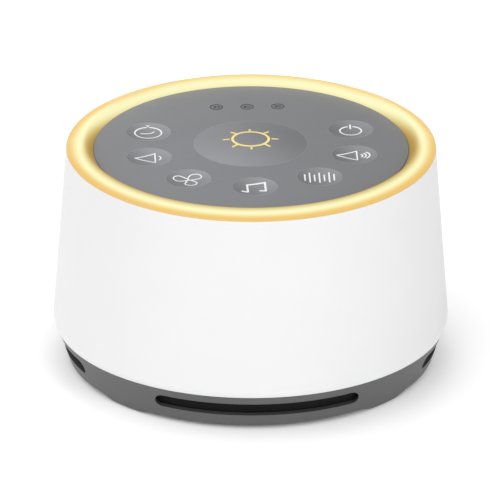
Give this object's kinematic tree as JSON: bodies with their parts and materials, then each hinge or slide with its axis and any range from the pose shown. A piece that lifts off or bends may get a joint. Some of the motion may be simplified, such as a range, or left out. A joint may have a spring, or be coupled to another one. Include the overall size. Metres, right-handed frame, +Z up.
{
  "type": "white noise machine",
  "caption": "Round table-top white noise machine with push keys and a glowing ring on top, and a speaker that fires down through a slotted base.",
  "frame": {"origin": "centre of the base, on the surface that the foot pads rest on", "axes": "+Z up, front (the side of the music key) towards -Y, ports towards +Y"},
  "size_m": [0.108, 0.108, 0.0634],
  "materials": {
    "white_plastic": "satin white moulded ABS",
    "ring_diffuser": "frosted warm-white light diffuser",
    "tray_white": "matte white reflector",
    "panel_grey": "fine matte mid-grey",
    "key_grey": "fine matte mid-grey with printed symbols",
    "window_clear": "clear light pipe",
    "base_grey": "fine matte dark grey",
    "rubber_black": "matte rubber",
    "black_plastic": "moulded black",
    "cloth_black": "fine acoustic cloth",
    "paper_black": "pressed paper",
    "spider_cloth": "resin-dipped cloth",
    "steel": "zinc plated",
    "ferrite": "sintered ferrite",
    "copper": "enamelled copper wire",
    "board_green": "solder mask on glass fibre",
    "chip_black": "moulded epoxy",
    "lamp_yellow": "phosphor lens",
    "can_blue": "shrink sleeve",
    "connector_ivory": "natural nylon",
    "ribbon_grey": "flat cable jacket",
    "lead_red": "lead jacket",
    "lead_black": "lead jacket",
    "terminal_board": "phenolic strip"
  },
  "bodies": {
    "housing": {"outer_shell": "white_plastic", "light_ring": "ring_diffuser", "reflector_tray": "tray_white", "top_panel": "panel_grey", "switch_bodies": "black_plastic", "timer_windows": "window_clear", "timer_lamps": "lamp_yellow", "ring_lamps": "lamp_yellow", "key_board": "board_green", "key_board_screws": "steel", "key_board_connector": "connector_ivory", "ribbon_cable": "ribbon_grey", "base_housing": "base_grey", "foot_pad_front_left": "rubber_black", "foot_pad_front_right": "rubber_black", "foot_pad_rear_left": "rubber_black", "foot_pad_rear_right": "rubber_black", "base_screws": "steel", "slot_cloth": "cloth_black", "speaker_baffle": "black_plastic", "speaker_gasket": "rubber_black", "speaker_frame": "black_plastic", "speaker_top_plate": "steel", "speaker_magnet": "ferrite", "speaker_yoke": "steel", "cone_surround": "rubber_black", "cone_spider": "spider_cloth", "speaker_terminals": "terminal_board", "speaker_screws": "steel", "speaker_lead_red": "lead_red", "speaker_lead_black": "lead_black", "main_board": "board_green", "main_chips": "chip_black", "capacitors": "can_blue", "main_board_connector": "connector_ivory", "power_inlet": "steel", "phone_jack": "black_plastic", "main_board_screws": "steel"},
    "light_key": {"key_light": "key_grey", "plunger_light": "black_plastic"},
    "music_key": {"key_music": "key_grey", "plunger_music": "black_plastic"},
    "fan_key": {"key_fan": "key_grey", "plunger_fan": "black_plastic"},
    "noise_key": {"key_noise": "key_grey", "plunger_noise": "black_plastic"},
    "volume_down_key": {"key_volume_down": "key_grey", "plunger_volume_down": "black_plastic"},
    "volume_up_key": {"key_volume_up": "key_grey", "plunger_volume_up": "black_plastic"},
    "timer_key": {"key_timer": "key_grey", "plunger_timer": "black_plastic"},
    "power_key": {"key_power": "key_grey", "plunger_power": "black_plastic"},
    "cone": {"speaker_cone": "paper_black", "dust_cap": "paper_black", "voice_coil": "copper"}
  },
  "joints": [
    {"name": "light_press", "type": "slide", "parent": "housing", "child": "light_key", "axis": [0, 0, -1], "range_m": [0, 0.0005], "stiffness_N_per_m": 400, "springref_m": -0.001},
    {"name": "music_press", "type": "slide", "parent": "housing", "child": "music_key", "axis": [0, 0, -1], "range_m": [0, 0.0005], "stiffness_N_per_m": 400, "springref_m": -0.001},
    {"name": "fan_press", "type": "slide", "parent": "housing", "child": "fan_key", "axis": [0, 0, -1], "range_m": [0, 0.0005], "stiffness_N_per_m": 400, "springref_m": -0.001},
    {"name": "noise_press", "type": "slide", "parent": "housing", "child": "noise_key", "axis": [0, 0, -1], "range_m": [0, 0.0005], "stiffness_N_per_m": 400, "springref_m": -0.001},
    {"name": "volume_down_press", "type": "slide", "parent": "housing", "child": "volume_down_key", "axis": [0, 0, -1], "range_m": [0, 0.0005], "stiffness_N_per_m": 400, "springref_m": -0.001},
    {"name": "volume_up_press", "type": "slide", "parent": "housing", "child": "volume_up_key", "axis": [0, 0, -1], "range_m": [0, 0.0005], "stiffness_N_per_m": 400, "springref_m": -0.001},
    {"name": "timer_press", "type": "slide", "parent": "housing", "child": "timer_key", "axis": [0, 0, -1], "range_m": [0, 0.0005], "stiffness_N_per_m": 400, "springref_m": -0.001},
    {"name": "power_press", "type": "slide", "parent": "housing", "child": "power_key", "axis": [0, 0, -1], "range_m": [0, 0.0005], "stiffness_N_per_m": 400, "springref_m": -0.001},
    {"name": "cone_stroke", "type": "slide", "parent": "housing", "child": "cone", "axis": [0, 0, 1], "range_m": [-0.001, 0.001], "stiffness_N_per_m": 1500, "deforming": ["cone_surround", "cone_spider"]}
  ]
}
